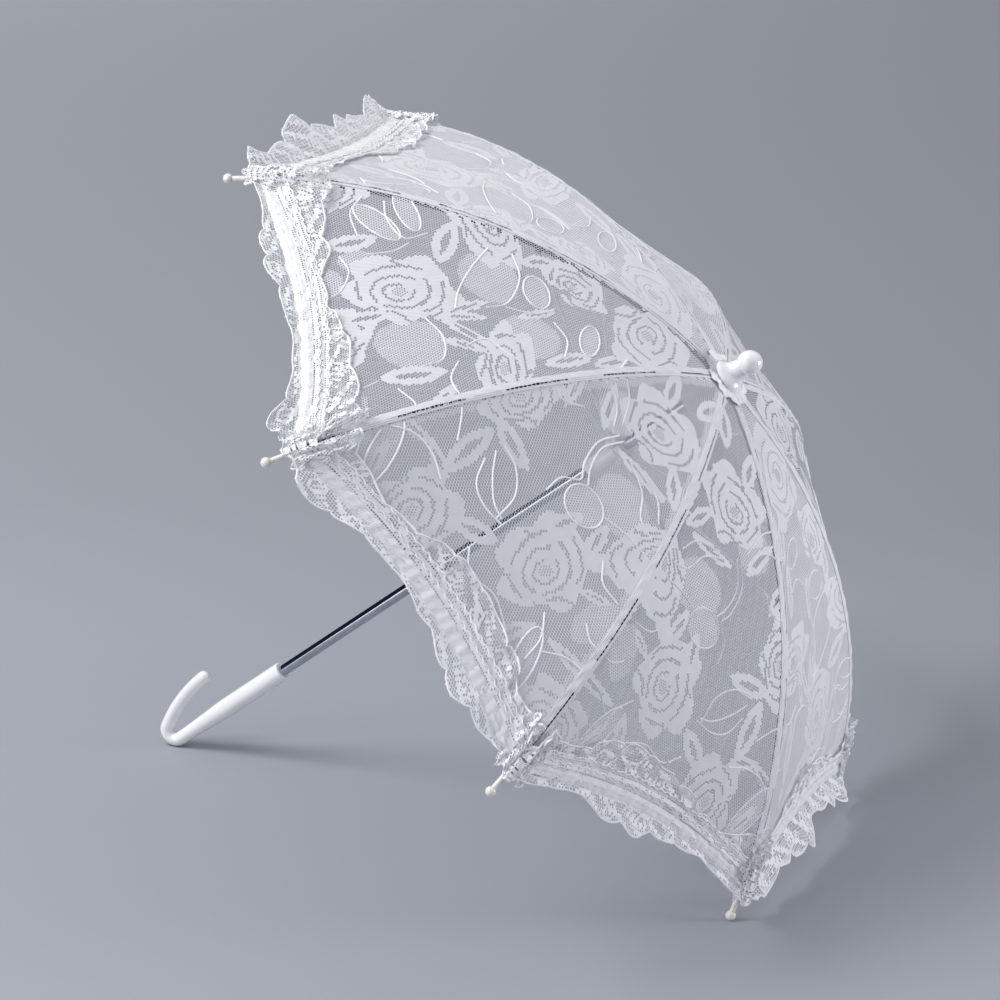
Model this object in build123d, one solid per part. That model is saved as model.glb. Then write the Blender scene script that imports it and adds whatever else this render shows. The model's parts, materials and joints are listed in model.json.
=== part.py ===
import os
from math import acos, asin, atan2, cos, degrees, hypot, radians, sin

from build123d import *

# A small lace parasol, open, lying on its crook handle and on two of its rib tips.
# Millimetres. Each piece is first made about the shaft: Z runs up the shaft to the knob,
# with 0 level with the rib tips, and X points at the middle of the gore that faces the floor.
# rest_place() then leans the whole parasol over onto the floor.

# ---- driving dimensions ----
RIB_COUNT = 8
CANOPY_R = 275.0          # shaft axis to the centre of a tip ball, open
DOME_RISE = 138.5         # tips to the top of the ribs' arc
SHAFT_R = 3.5
SHAFT_WALL = 0.6
GRIP_TOP = -218.0         # where the shaft enters the handle
KNOB_BASE = 141.9         # underside of the knob's flange
KNOB_BORE = 9.0           # how far the shaft enters the knob
SLIP = 0.1                # running clearance on a radius
FIT_GAP = 0.05            # clearance between pieces that are fixed together
SPARE = 1.0               # how far a cutting shape reaches past what it cuts
THROUGH = 8.0             # length of a pin-shaped cut, longer than anything is thick

# ribs and stretchers
RIB_W = 3.0
RIB_H = 2.2
RIB_WALL = 0.5
HINGE_R = 8.0             # shaft axis to the eyes, in the crown and in the runner
CROWN_EYE = 136.0         # height of the rib eyes
RUNNER_EYE = 60.0         # height of the stretcher eyes, open
PIN_REACH = 132.0         # shaft axis to the pins that join ribs and stretchers, open
PIN_DROP = 3.5            # how far a pin hangs under its rib's centre line
PIN_R = 0.6
CLOSE_ANGLE = 62.0        # how far a rib swings in, until its tip is beside the shaft
STRETCHER_R = 1.0
FORK_GAP = 0.15           # between a lug and each cheek of the fork around it
CHEEK_T = 0.7
EYE_WIRE_R = 0.45

# tips and cloth
BALL_R = 2.95
CAP_LENGTH = 19.0
CAP_BORE_R = 0.95
CLOTH_T = 0.8
CLOTH_GAP = 0.4           # between the cloth and the ribs, and from a seam to its gore
HEM_CORNER = 7.0          # hem corner to the centre of its tip ball
HEM_HOLLOW = 8.0          # how far the hem curves in between two tips, seen along the shaft
RUFFLE_IN = 15.0          # ruffle beyond the hem, inwards and outwards, seen along the shaft
RUFFLE_OUT = 4.0
RUFFLE_GAP = 0.4

# handle
GRIP_R = 6.2
GRIP_FULL_TO = -262.0     # the grip keeps its thickness down to here, and then narrows
CROOK_R = 4.4             # radius of the handle's own thickness in the bend
CROOK_END_R = 4.1
BEND_R = 6.0              # centre line of the bend
BEND_TURN = 150.0
BEND_AT = -309.0
LEG_R = 100.0             # how the leg past the bend curves back
LEG_END_ANGLE = 4.0       # between the leg's end and the shaft's direction
SOCKET_DEPTH = 36.0

# crown, runner and catch
CROWN_SLOT_W = 1.6
CROWN_SLOT_FLOOR = 5.8    # shaft axis to the bottom of a slot
RUNNER_SLOT_W = 2.5
RUNNER_SLOT_FLOOR = 5.45
RUNNER_TOP = RUNNER_EYE + 4.0
RUNNER_LOW = RUNNER_EYE - 24.0
BINDING_WIRE_R = 0.4
CATCH_TIP_OUT = 4.5       # shaft axis to the tip of the catch's nose, pressed out by its spring
CATCH_LOW = 4.0

# ---- worked out ----
GORE_ANGLE = 360.0 / RIB_COUNT
HALF_GORE = GORE_ANGLE / 2
RIB_ARC_R = (CANOPY_R**2 + DOME_RISE**2) / (2 * DOME_RISE)
ARC_CENTRE = DOME_RISE - RIB_ARC_R
CLOTH_LOW = RIB_ARC_R + RIB_H / 2 + CLOTH_GAP
CLOTH_TOP = CLOTH_LOW + CLOTH_T
SOCKET_END = GRIP_TOP - SOCKET_DEPTH


def on_arc(turn, radius=RIB_ARC_R):
    """A point (out, up) of the ribs' arc, TURN degrees down from the top of the dome."""
    return radius * sin(radians(turn)), ARC_CENTRE + radius * cos(radians(turn))


def arc_turn(out, radius=RIB_ARC_R):
    return degrees(asin(out / radius))


TIP_TURN = arc_turn(CANOPY_R)
PIN_TURN = arc_turn(PIN_REACH)
RIB_START_TURN = arc_turn(15.0)
CAP_TURN = degrees(CAP_LENGTH / RIB_ARC_R)
RIB_END_TURN = TIP_TURN - CAP_TURN
CROWN_EYE_AT = (HINGE_R, CROWN_EYE)
RUNNER_EYE_AT = (HINGE_R, RUNNER_EYE)
PIN_AT = on_arc(PIN_TURN, RIB_ARC_R - PIN_DROP)


def linkage():
    """Stretcher turn on its rib, in degrees, and runner travel from open to closed."""
    rib_out, rib_down = PIN_AT[0] - HINGE_R, CROWN_EYE - PIN_AT[1]
    arm_out, arm_down = PIN_AT[0] - HINGE_R, PIN_AT[1] - RUNNER_EYE
    rib_arm, stretcher = hypot(rib_out, rib_down), hypot(arm_out, arm_down)
    closed = atan2(rib_down, rib_out) + radians(CLOSE_ANGLE)
    pin_out = rib_arm * cos(closed)
    pin_up = CROWN_EYE - rib_arm * sin(closed)
    arm_closed = acos(pin_out / stretcher)
    runner_closed = pin_up - stretcher * sin(arm_closed)
    turn = CLOSE_ANGLE + degrees(arm_closed - atan2(arm_down, arm_out))
    return turn, RUNNER_EYE - runner_closed


def lean_angle():
    """Angle from the floor to the shaft at which the crook and two tip balls all touch down."""
    across = CANOPY_R * cos(radians(HALF_GORE)) + BEND_R
    along = -BEND_AT
    spare = CROOK_R + BEND_R - BALL_R
    return acos(spare / hypot(across, along)) - atan2(along, across)


STRETCHER_TURN, RUNNER_TRAVEL = linkage()
LEAN = lean_angle()
TIP_PLANE_HEIGHT = BALL_R + CANOPY_R * cos(radians(HALF_GORE)) * cos(LEAN)


# ---- small shapes ----
def bar(start, end, height, thickness, y=0.0):
    """A flat bar in the XZ plane from START to END, each (out, up)."""
    run = (end[0] - start[0], end[1] - start[1])
    tilt = -degrees(atan2(run[1], run[0]))
    middle = Pos((start[0] + end[0]) / 2, y, (start[1] + end[1]) / 2)
    return middle * Rot(0, tilt, 0) * Box(hypot(*run), thickness, height)


def disc(at, radius, thickness, y=0.0):
    """A round plate or pin at AT, (out, up), across the XZ plane."""
    return Pos(at[0], y, at[1]) * Rot(90, 0, 0) * Cylinder(radius, thickness)


def rod(start, end, radius):
    run = (end[0] - start[0], end[1] - start[1])
    tilt = 90 - degrees(atan2(run[1], run[0]))
    middle = Pos((start[0] + end[0]) / 2, 0, (start[1] + end[1]) / 2)
    return middle * Rot(0, tilt, 0) * Cylinder(radius, hypot(*run))


def along(start, end, distance):
    """The point at DISTANCE from START towards END."""
    run = (end[0] - start[0], end[1] - start[1])
    share = distance / hypot(*run)
    return start[0] + run[0] * share, start[1] + run[1] * share


def upright(radius, low, high):
    """A cylinder round the shaft's line, from LOW to HIGH."""
    return Pos(0, 0, (low + high) / 2) * Cylinder(radius, high - low)


def ring(out_r, in_r, low, high):
    return upright(out_r, low, high) - upright(in_r, low - SPARE, high + SPARE)


def slots(width, floor_r, rim_r, low, high):
    """One radial slot for each rib, from FLOOR_R out past RIM_R."""
    depth = rim_r - floor_r + SPARE
    middle = floor_r + depth / 2
    cut = Pos(middle, 0, (low + high) / 2) * Box(depth, width, high - low)
    return [Rot(0, 0, azimuth) * cut for azimuth in rib_azimuths()]


def rib_azimuths():
    return [-HALF_GORE + GORE_ANGLE * i for i in range(RIB_COUNT)]


# ---- shaft, handle, knob ----
def shaft_tube():
    """Tube with a slot in its side for the catch."""
    catch_slot_w, catch_slot_h, catch_slot_up = 1.4, 25.0, 24.0
    tube = ring(SHAFT_R, SHAFT_R - SHAFT_WALL, SOCKET_END + FIT_GAP, KNOB_BASE + KNOB_BORE)
    window = Pos(-SHAFT_R, 0, catch_slot_up) * Box(2 * SHAFT_R, catch_slot_w, catch_slot_h)
    return tube - window


def crook_sections():
    """Circles down the leg of the crook, which curves back towards the shaft's direction."""
    first = 180.0 - BEND_TURN
    start = (-BEND_R - BEND_R * cos(radians(first)), BEND_AT - BEND_R * sin(radians(first)))
    steps = 5
    sections = []
    for i in range(steps + 1):
        angle = first + (LEG_END_ANGLE - first) * i / steps
        out = start[0] - LEG_R * (cos(radians(angle)) - cos(radians(first)))
        up = start[1] + LEG_R * (sin(radians(first)) - sin(radians(angle)))
        radius = CROOK_R + (CROOK_END_R - CROOK_R) * i / steps
        heading = (-sin(radians(angle)), 0, cos(radians(angle)))
        sections.append((Plane(origin=(out, 0, up), x_dir=(0, 1, 0), z_dir=heading), radius))
    return sections


def grip():
    """Round grip of even thickness that narrows smoothly to the neck of the crook."""
    edge_round = 1.2
    outline = [
        Line((0, BEND_AT), (CROOK_R, BEND_AT)),
        Spline((CROOK_R, BEND_AT), (GRIP_R, GRIP_FULL_TO), tangents=[(0, 1), (0, 1)]),
        Line((GRIP_R, GRIP_FULL_TO), (GRIP_R, GRIP_TOP)),
        Line((GRIP_R, GRIP_TOP), (0, GRIP_TOP)),
        Line((0, GRIP_TOP), (0, BEND_AT)),
    ]
    turned = revolve(Plane.XZ * make_face(outline), Axis.Z)
    return fillet(turned.edges().sort_by(Axis.Z)[-1], edge_round)


def crook_handle():
    start = Plane(origin=(0, 0, BEND_AT), z_dir=(0, 0, 1)) * Circle(CROOK_R)
    bend_axis = Axis((-BEND_R, 0, BEND_AT), (0, 1, 0))
    bend = revolve(start, bend_axis, BEND_TURN)
    sections = crook_sections()
    leg = loft([plane * Circle(radius) for plane, radius in sections])
    end = sections[-1][0] * Sphere(CROOK_END_R)
    socket = upright(SHAFT_R + FIT_GAP, SOCKET_END, GRIP_TOP + SPARE)
    return grip() + bend + leg + end - socket


def ferrule_knob():
    """Turned knob: a flange that clamps the cloth, a waist and a ball."""
    flange_r, rim_h = 10.7, 1.8
    shoulder_r, shoulder_up = 8.0, 4.6
    waist_r, waist_up = 6.3, 8.6
    ball_r, ball_up, ball_starts = 7.5, 16.3, radians(50)
    join = (ball_r * sin(ball_starts), ball_up - ball_r * cos(ball_starts))
    top = (0, ball_up + ball_r)
    outline = [
        Line((0, 0), (flange_r, 0)),
        Line((flange_r, 0), (flange_r, rim_h)),
        Spline(
            (flange_r, rim_h), (shoulder_r, shoulder_up), (waist_r, waist_up),
            tangents=[(-0.5, 1), (-0.1, 1)]),
        Line((waist_r, waist_up), join),
        ThreePointArc(join, (ball_r, ball_up), top),
        Line(top, (0, 0)),
    ]
    knob = revolve(Plane.XZ * make_face(outline), Axis.Z)
    knob -= upright(SHAFT_R + FIT_GAP, -SPARE, KNOB_BORE + FIT_GAP)
    return Pos(0, 0, KNOB_BASE) * knob


# ---- crown and runner ----
def crown_notch():
    """Notched ring whose slots hold the ribs' eyes, on a sleeve round the shaft."""
    top, flange_low, low = 139.6, 131.8, 112.0
    flange_r, sleeve_r = 9.8, 6.3
    groove_half = EYE_WIRE_R + FIT_GAP
    crown = ring(flange_r, SHAFT_R + FIT_GAP, flange_low, top)
    crown += ring(sleeve_r, SHAFT_R + FIT_GAP, low, flange_low)
    crown -= slots(CROWN_SLOT_W, CROWN_SLOT_FLOOR, flange_r, flange_low, top + SPARE)
    return crown - ring(
        flange_r + SPARE, HINGE_R - groove_half, CROWN_EYE - groove_half, CROWN_EYE + groove_half)


def crown_wire():
    return Pos(0, 0, CROWN_EYE) * Torus(HINGE_R, EYE_WIRE_R)


def runner_sleeve():
    """Notched ring for the stretchers' eyes on a sleeve that slides, with a keyway for the catch."""
    flange_r, flange_low = 9.5, RUNNER_EYE - 3.5
    sleeve_r, collar_r, collar_h = 5.3, 6.3, 3.0
    keyway_r, keyway_w = 4.75, 1.8
    groove_half = BINDING_WIRE_R + FIT_GAP
    runner = ring(flange_r, SHAFT_R + SLIP, flange_low, RUNNER_TOP)
    runner += ring(sleeve_r, SHAFT_R + SLIP, RUNNER_LOW, flange_low)
    runner += ring(collar_r, SHAFT_R + SLIP, RUNNER_LOW, RUNNER_LOW + collar_h)
    runner -= slots(
        RUNNER_SLOT_W, RUNNER_SLOT_FLOOR, flange_r, flange_low - SPARE, RUNNER_TOP + SPARE)
    runner -= ring(
        flange_r + SPARE, RUNNER_SLOT_FLOOR, RUNNER_EYE - groove_half, RUNNER_EYE + groove_half)
    keyway_h = RUNNER_TOP - RUNNER_LOW + 2 * SPARE
    keyway = Pos(-keyway_r / 2, 0, (RUNNER_LOW + RUNNER_TOP) / 2) * Box(keyway_r, keyway_w, keyway_h)
    return runner - keyway


def runner_wire():
    """Binding wire at the foot of the runner's slots, just inside the stretcher eyes."""
    return Pos(0, 0, RUNNER_EYE) * Torus(RUNNER_SLOT_FLOOR + BINDING_WIRE_R + FIT_GAP, BINDING_WIRE_R)


def spring_catch():
    """Leaf inside the shaft, whose nose holds the runner up."""
    nose_top = RUNNER_LOW - 0.6
    leaf_out, leaf_in, bend_out, leaf_w = 1.6, -0.4, 2.6, 1.0
    slope_from, slope_to = 13.0, 14.0
    notch_out, top = 2.4, nose_top + 3.0
    outline = Polyline(
        (leaf_out, CATCH_LOW), (leaf_out, slope_from), (bend_out, slope_to),
        (CATCH_TIP_OUT, nose_top), (notch_out, nose_top), (notch_out, top),
        (leaf_in, top), (leaf_in, CATCH_LOW), close=True)
    leaf = extrude(Plane.XZ * make_face(outline), leaf_w / 2, both=True)
    return Rot(0, 0, 180) * leaf


# ---- one rib and what is on it, in the XZ plane ----
def rib_channel():
    """The rib's curved channel, open towards the shaft."""
    web = Pos(0, 0, ARC_CENTRE + RIB_ARC_R) * (Plane.YZ * Rectangle(RIB_W, RIB_H))
    groove = Plane.YZ * Rectangle(RIB_W - 2 * RIB_WALL, RIB_H)
    section = web - Pos(0, 0, ARC_CENTRE + RIB_ARC_R - RIB_WALL) * groove
    about_centre = Pos(0, 0, ARC_CENTRE) * Rot(0, RIB_START_TURN, 0) * Pos(0, 0, -ARC_CENTRE)
    arc_axis = Axis((0, 0, ARC_CENTRE), (0, 1, 0))
    return revolve(about_centre * section, arc_axis, RIB_END_TURN - RIB_START_TURN)


def rib():
    """Channel with a flattened eye at the crown, a lug for the rivet and a tenon for the tip."""
    eye_t, eye_r, shank_h, shank_length = 1.2, 1.7, 2.0, 4.0
    lug_r = 1.6
    tenon_r, tenon_in, tenon_out = 0.9, CAP_LENGTH + 3.0, 1.5
    shank_end = on_arc(RIB_START_TURN + degrees(shank_length / RIB_ARC_R))
    root = bar(CROWN_EYE_AT, shank_end, shank_h, eye_t) + disc(CROWN_EYE_AT, eye_r, eye_t)
    lug = bar(on_arc(PIN_TURN), PIN_AT, 2 * lug_r, RIB_W) + disc(PIN_AT, lug_r, RIB_W)
    tenon = rod(tip_point(tenon_in), tip_point(tenon_out), tenon_r)
    whole = rib_channel() + root + lug + tenon
    return whole - disc(CROWN_EYE_AT, EYE_WIRE_R + SLIP, THROUGH) - disc(PIN_AT, PIN_R, THROUGH)


def tip_point(distance):
    """A point of the tip's straight end, DISTANCE in from the centre of the ball."""
    return along(on_arc(TIP_TURN), on_arc(RIB_END_TURN), distance)


def tip_cap():
    """Moulded ball on a neck, with a bead that the hem's corner is sewn round."""
    neck_r, neck_length = 1.6, 14.0
    bead_r, bead_from, bead_to, bead_round = 2.3, 13.5, CAP_LENGTH - 1.0, 0.8
    ball_at = tip_point(0)
    ball = Pos(ball_at[0], 0, ball_at[1]) * Sphere(BALL_R)
    neck = rod(ball_at, tip_point(neck_length), neck_r)
    bead = rod(tip_point(bead_from), tip_point(bead_to), bead_r)
    bead = fillet(bead.edges(), bead_round)
    bore = rod(tip_point(1.0), tip_point(CAP_LENGTH + SPARE), CAP_BORE_R)
    return ball + neck + bead - bore


def pivot_rivet():
    """Pin through the rib's lug and the stretcher's fork, with a head on each end."""
    head_r, head_t = 1.15, 0.5
    half = RIB_W / 2 + FORK_GAP + CHEEK_T + SLIP
    rivet = disc(PIN_AT, PIN_R, 2 * half + head_t)
    for side in (-1, 1):
        rivet += disc(PIN_AT, head_r, head_t, y=side * (half + head_t / 2))
    return rivet


def stretcher():
    """Wire from a flat eye in the runner to a fork around the rib's lug."""
    bridge_from, fork_to, bridge_to = 6.0, 7.0, 9.0
    cheek_r, eye_r, eye_t, eye_bore_r = 1.4, 1.5, 1.4, 0.5
    fork_w = RIB_W + 2 * FORK_GAP + 2 * CHEEK_T
    bridge_start = along(PIN_AT, RUNNER_EYE_AT, bridge_from)
    bridge_end = along(PIN_AT, RUNNER_EYE_AT, bridge_to)
    fork_end = along(PIN_AT, RUNNER_EYE_AT, fork_to)
    body = rod(bridge_start, along(RUNNER_EYE_AT, PIN_AT, STRETCHER_R), STRETCHER_R)
    body += bar(bridge_start, bridge_end, 2 * STRETCHER_R, fork_w)
    for side in (-1, 1):
        y = side * (fork_w - CHEEK_T) / 2
        body += bar(PIN_AT, fork_end, 2 * STRETCHER_R, CHEEK_T, y)
        body += disc(PIN_AT, cheek_r, CHEEK_T, y)
    body += disc(RUNNER_EYE_AT, eye_r, eye_t)
    body -= disc(PIN_AT, PIN_R + SLIP, THROUGH)
    return body - disc(RUNNER_EYE_AT, eye_bore_r, THROUGH)


# ---- cloth, made between two ribs with the gore's middle along X ----
def cloth_strip(low_r, high_r, in_turn, out_turn, seam_gap):
    """A thin solid ruled between two arcs, one in the plane of each rib."""
    middle_turn = (in_turn + out_turn) / 2
    outline = [
        ThreePointArc(on_arc(in_turn, high_r), on_arc(middle_turn, high_r), on_arc(out_turn, high_r)),
        Line(on_arc(out_turn, high_r), on_arc(out_turn, low_r)),
        ThreePointArc(on_arc(out_turn, low_r), on_arc(middle_turn, low_r), on_arc(in_turn, low_r)),
        Line(on_arc(in_turn, low_r), on_arc(in_turn, high_r)),
    ]
    section = Plane.XZ * make_face(outline)
    near = Rot(0, 0, -HALF_GORE) * Pos(0, seam_gap, 0) * section
    far = Rot(0, 0, HALF_GORE) * Pos(0, -seam_gap, 0) * section
    return loft([near, far], ruled=True)


def hem_edge(offset):
    """Upright cylinder whose near side is the hem's curve, OFFSET further out."""
    height = 400.0
    corner_r = CANOPY_R - HEM_CORNER * cos(radians(TIP_TURN))
    half_chord = corner_r * sin(radians(HALF_GORE))
    radius = (half_chord**2 + HEM_HOLLOW**2) / (2 * HEM_HOLLOW)
    middle = corner_r * cos(radians(HALF_GORE)) - HEM_HOLLOW + radius + offset
    return Pos(middle, 0, 0) * Cylinder(radius, height)


def tip_pockets():
    """Room for the two tip caps at a gore's corners."""
    clear_r, past_ball, past_cap = 2.75, 6.0, 0.6
    pocket = rod(tip_point(-past_ball), tip_point(CAP_LENGTH + past_cap), clear_r)
    return [Rot(0, 0, side * HALF_GORE) * pocket for side in (-1, 1)]


def canopy_gore():
    top_hole_r = 11.0
    strip = cloth_strip(CLOTH_LOW, CLOTH_TOP, arc_turn(top_hole_r), TIP_TURN, CLOTH_GAP)
    return strip - hem_edge(0) - tip_pockets()


def hem_ruffle():
    """Gathered trim on the hem of one gore, between its two seams."""
    low_r = CLOTH_TOP + RUFFLE_GAP
    ruffle_t, seam_gap = 1.2, 5.0
    strip_inwards, strip_outwards = 70.0, 6.0
    inner_turn = TIP_TURN - degrees(strip_inwards / RIB_ARC_R)
    outer_turn = TIP_TURN + degrees(strip_outwards / RIB_ARC_R)
    strip = cloth_strip(low_r, low_r + ruffle_t, inner_turn, outer_turn, seam_gap)
    return (strip & hem_edge(-RUFFLE_IN)) - hem_edge(RUFFLE_OUT)


def top_rosette():
    rosette_r, rosette_t, under_knob = 16.0, 0.7, 0.3
    high = KNOB_BASE - under_knob
    return ring(rosette_r, SHAFT_R + FIT_GAP, high - rosette_t, high)


# ---- assembly ----
def parts_about_shaft():
    """Node name to solid, in the shaft's frame. Ribs are numbered round from one side."""
    parts = {
        "shaft_tube": shaft_tube(),
        "crook_handle": crook_handle(),
        "ferrule_knob": ferrule_knob(),
        "top_rosette": top_rosette(),
        "crown_notch": crown_notch(),
        "crown_wire": crown_wire(),
        "spring_catch": spring_catch(),
        "runner_sleeve": runner_sleeve(),
        "runner_wire": runner_wire(),
    }
    on_each_rib = {
        "rib": rib(),
        "tip_cap": tip_cap(),
        "pivot_rivet": pivot_rivet(),
        "stretcher": stretcher(),
        "canopy_gore": Rot(0, 0, HALF_GORE) * canopy_gore(),
        "hem_ruffle": Rot(0, 0, HALF_GORE) * hem_ruffle(),
    }
    for i, azimuth in enumerate(rib_azimuths()):
        for name, solid in on_each_rib.items():
            parts[f"{name}_{i + 1}"] = Rot(0, 0, azimuth) * solid
    return parts


def rest_place(parts):
    """The move from the shaft's frame to the floor, with the origin under the middle."""
    lean = Pos(0, 0, TIP_PLANE_HEIGHT) * Rot(0, 90 - degrees(LEAN), 0)
    box = Compound([lean * solid for solid in parts.values()]).bounding_box()
    return Pos(-(box.min.X + box.max.X) / 2, -(box.min.Y + box.max.Y) / 2, 0) * lean


about_shaft = parts_about_shaft()
PLACE = rest_place(about_shaft)
os.makedirs("parts", exist_ok=True)
for node, solid in about_shaft.items():
    export_step(PLACE * solid, f"parts/{node}.step")
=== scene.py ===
"""The looks of a child's lace parasol: lace canopy, gathered trim, moulded plastics and steel."""

import json
import math

import bpy
import numpy as np
from mathutils import Matrix, Vector


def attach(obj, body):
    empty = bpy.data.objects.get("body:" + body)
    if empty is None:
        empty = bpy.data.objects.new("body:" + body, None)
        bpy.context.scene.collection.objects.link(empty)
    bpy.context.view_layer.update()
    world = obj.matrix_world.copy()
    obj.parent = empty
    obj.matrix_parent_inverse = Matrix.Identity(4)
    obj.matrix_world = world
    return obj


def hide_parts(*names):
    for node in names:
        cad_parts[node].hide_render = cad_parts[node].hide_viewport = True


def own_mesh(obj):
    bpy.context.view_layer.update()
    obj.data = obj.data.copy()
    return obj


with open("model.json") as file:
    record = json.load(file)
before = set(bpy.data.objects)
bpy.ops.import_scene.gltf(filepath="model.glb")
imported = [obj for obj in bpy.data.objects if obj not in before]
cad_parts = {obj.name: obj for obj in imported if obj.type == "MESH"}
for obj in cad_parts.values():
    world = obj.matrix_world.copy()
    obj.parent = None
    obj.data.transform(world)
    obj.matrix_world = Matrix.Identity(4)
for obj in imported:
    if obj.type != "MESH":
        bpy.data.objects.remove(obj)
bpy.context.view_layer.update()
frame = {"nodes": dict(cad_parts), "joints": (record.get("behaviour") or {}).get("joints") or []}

# ------------------------------------------------------------------ sizes, in millimetres
MM = 0.001
RIB_COUNT = 8
TURN = math.tau / RIB_COUNT
HALF_TURN = TURN / 2
OPEN_RADIUS = 275.0
DOME_RISE = 138.5
ARC_RADIUS = (OPEN_RADIUS**2 + DOME_RISE**2) / (2 * DOME_RISE)
ARC_CENTRE = DOME_RISE - ARC_RADIUS
CROWN_EYE = 136.0
CLOTH_LIFT = 1.9
CLOTH_SAG = 1.6
SAG_FULL_FROM = 120.0
CLOTH_THICKNESS = 0.4
TOP_RADIUS = 11.0
HEM_RADIUS = OPEN_RADIUS - 7.0
HEM_HOLLOW = 8.0
FLOOR_CLEARANCE = 1.0

# the lace: one hexagonal net whose cells are open, half closed or filled
NET_PITCH = 1.8
NET_ROW = 1.36
NET_REACH = 110.0
NET_LENGTH = 300.0
NET_PULL_ACROSS = 0.9
NET_PULL_DOWN = 0.8
CELL_SLANT = 0.16
SEAM_EDGE = 1.5
SEAM_BAND = 2.4
SEAM_ALLOWANCE = 7.0
HEM_BAND = 6.5

# the raised cords on the lace and along the trim
CORD_WIDTH = 1.1
CORD_HEIGHT = 0.45
CORD_LIFT = 0.3
CORD_MARGIN = 3.0
CORD_OVERLAP = 0.4

# the seam over a rib: where its strips part, across the rib, and its one row of slots
SEAM_LINES = (-4.6, -3.4, -2.2, -1.1, -0.55, 0.5, 1.3, 2.2)
SLOT_STRIP = 4
SLOT_STEP = 2.6
SLOT_SHARE = 0.84
SLOT_RUN = 31.0
SLOT_SHOWS = -0.45
SEAM_LIFT = 0.4
SEAM_PUFF = 0.15

# the gathered trim along the hem, and the bunch of it over each rib's end
TRIM_PITCH = 1.85
TRIM_ROW = 1.5
TRIM_IN = 18.0
TRIM_IN_SCALLOP = 10.0
TRIM_IN_DRIFT = 7.0
TRIM_OUT = 1.0
TRIM_OUT_SCALLOP = 14.0
TRIM_SCALLOP = 30.0
TRIM_FLARE = 0.55
TRIM_LIFT = 1.2
TRIM_GATHER = 1.12
TRIM_HEADING = 17.0
TRIM_STITCHES = (-TRIM_HEADING, -12.0)
TRIM_STANDING = {4: 1.25, 5: 1.4, 1: 1.25}
TRIM_FADE = 12.0
TRIM_CORNER = 15.0
TRIM_CORNER_IN = 10.0
TRIM_CORNER_OUT = 16.0
TRIM_CORNER_LIFT = 4.5
TRIM_HIGHEST = -40.0
TRIM_LOWEST = 28.0
FLOWER_RING = 4.6
FLOWER_HEART = 1.5
FLOWER_MIDDLES = (-TRIM_IN - 2.0, TRIM_OUT + 4.0)
BUNCH_HALF = 17.0
BUNCH_UP = 30.0
BUNCH_DOWN = 5.0
BUNCH_GATHER = 0.7
BUNCH_LIFT = 4.2

# the satin tape round the hem: its width, then how far down and how high each of its rows lies
HEM_TAPE = 8.5
HEM_TAPE_ROWS = (
    (-1.0, 1.6),
    (-0.7, 2.1),
    (-0.35, 2.0),
    (-0.05, 1.6),
    (0.06, 0.8),
    (0.03, -0.3),
    (-0.2, -0.7),
)
HEM_TAPE_STEPS = 90
HEM_TAPE_PUCKER = 0.2

# the rosette under the knob
ROSETTE_INNER = 6.5
ROSETTE_OUTER = 18.0
ROSETTE_RINGS = 9
ROSETTE_STEPS = 144
ROSETTE_LIFT = 3.2
ROSETTE_FOLD = 0.5
ROSETTE_EDGE = 1.2

# the three states of a cell, and how much of one the hole takes
OPEN, DENSE, SOLID = 0, 1, 2
HOLE_SHARE = {OPEN: 0.88, DENSE: 0.62}
CLOSE_GORES = (1, 4, 5)

# ------------------------------------------------------------------ where things are
joints = {joint["name"]: joint for joint in frame["joints"]}
shaft_up = -Vector(joints["runner_slide"]["axis"]).normalized()
side = Vector((0.0, 1.0, 0.0))
floorward = side.cross(shaft_up)
rib_eyes = [Vector(joints[f"rib_swing_{k}"]["pos_m"]) for k in range(1, RIB_COUNT + 1)]
eye_ring = sum(rib_eyes, Vector()) / RIB_COUNT
tips_centre = eye_ring - shaft_up * CROWN_EYE * MM


def to_row(radius, angle, across, height):
    """Points given round the shaft, in millimetres, as points of the frame, in metres."""
    x = radius * np.cos(angle) - across * np.sin(angle)
    y = radius * np.sin(angle) + across * np.cos(angle)
    local = np.stack([x, y, height], axis=-1) * MM
    axes = np.array([floorward, side, shaft_up])
    return local @ axes + np.array(tips_centre)


# ------------------------------------------------------------------ the dome
# A gore is flat across, so it unrolls: x runs across it and y down its mid line from the top.
ARC_END = 1.05
ARC_SAMPLES = 1200
arc_angles = np.linspace(0.0, ARC_END, ARC_SAMPLES)
arc_steps = np.hypot(math.cos(HALF_TURN) * np.cos(arc_angles), np.sin(arc_angles))
arc_pieces = 0.5 * (arc_steps[1:] + arc_steps[:-1]) * np.diff(arc_angles) * ARC_RADIUS
arc_lengths = np.concatenate([[0.0], np.cumsum(arc_pieces)])


def angle_at(y):
    """The angle from the shaft at which the dome's arc has run a length y."""
    return np.interp(y, arc_lengths, arc_angles)


def half_width(y):
    """Half the width of a gore at y."""
    return (ARC_RADIUS + CLOTH_LIFT) * np.sin(angle_at(y)) * math.sin(HALF_TURN)


def down_at(radius):
    """The y at which the mid line stands this far from the shaft."""
    reach = (ARC_RADIUS + CLOTH_LIFT) * math.cos(HALF_TURN)
    return np.interp(radius / reach, np.sin(arc_angles), arc_lengths)


HEM_CORNER = HEM_RADIUS * math.sin(HALF_TURN)
TRIM_REACH = HEM_CORNER * TRIM_GATHER
TOP_Y = float(down_at(TOP_RADIUS))


def hem_at(x):
    """The y of the hollowed hem at x."""
    share = np.clip(np.abs(x) / HEM_CORNER, 0.0, 1.0)
    return down_at(HEM_RADIUS * math.cos(HALF_TURN) - HEM_HOLLOW * (1.0 - share**2))


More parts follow.
